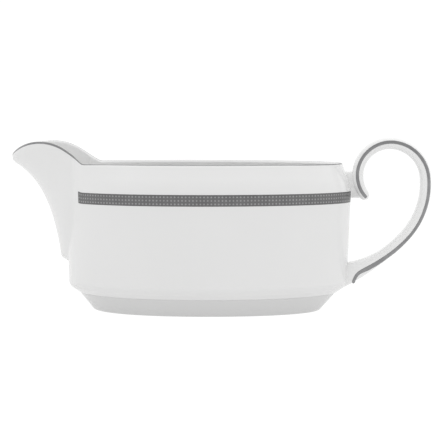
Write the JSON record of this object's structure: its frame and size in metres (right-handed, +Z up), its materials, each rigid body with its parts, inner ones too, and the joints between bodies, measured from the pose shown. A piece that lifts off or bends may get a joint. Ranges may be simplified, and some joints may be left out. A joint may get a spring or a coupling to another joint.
{
  "type": "sauce boat",
  "caption": "Oval white china sauce boat with an arched pouring spout, a scrolled loop handle, a tapered foot ring and applied platinum lines and bands.",
  "frame": {"origin": "on the table, at the middle of the foot ring under the oval body", "axes": "+Z up, +X along the boat's length towards the handle, so the spout points to -X"},
  "size_m": [0.2166, 0.098, 0.0886],
  "materials": {
    "china": "clear gloss glaze over white bone china",
    "platinum": "burnished platinum line fired onto the glaze",
    "platinum_band": "matt platinum print with raised bright dots"
  },
  "bodies": {
    "root": {"bowl": "china", "spout": "china", "foot_ring": "china", "handle_strap": "china", "handle_lug": "china", "rim_line": "platinum", "spout_lip_line": "platinum", "band_left": "platinum_band", "band_right": "platinum_band", "handle_line_left": "platinum", "handle_line_right": "platinum"}
  },
  "joints": []
}
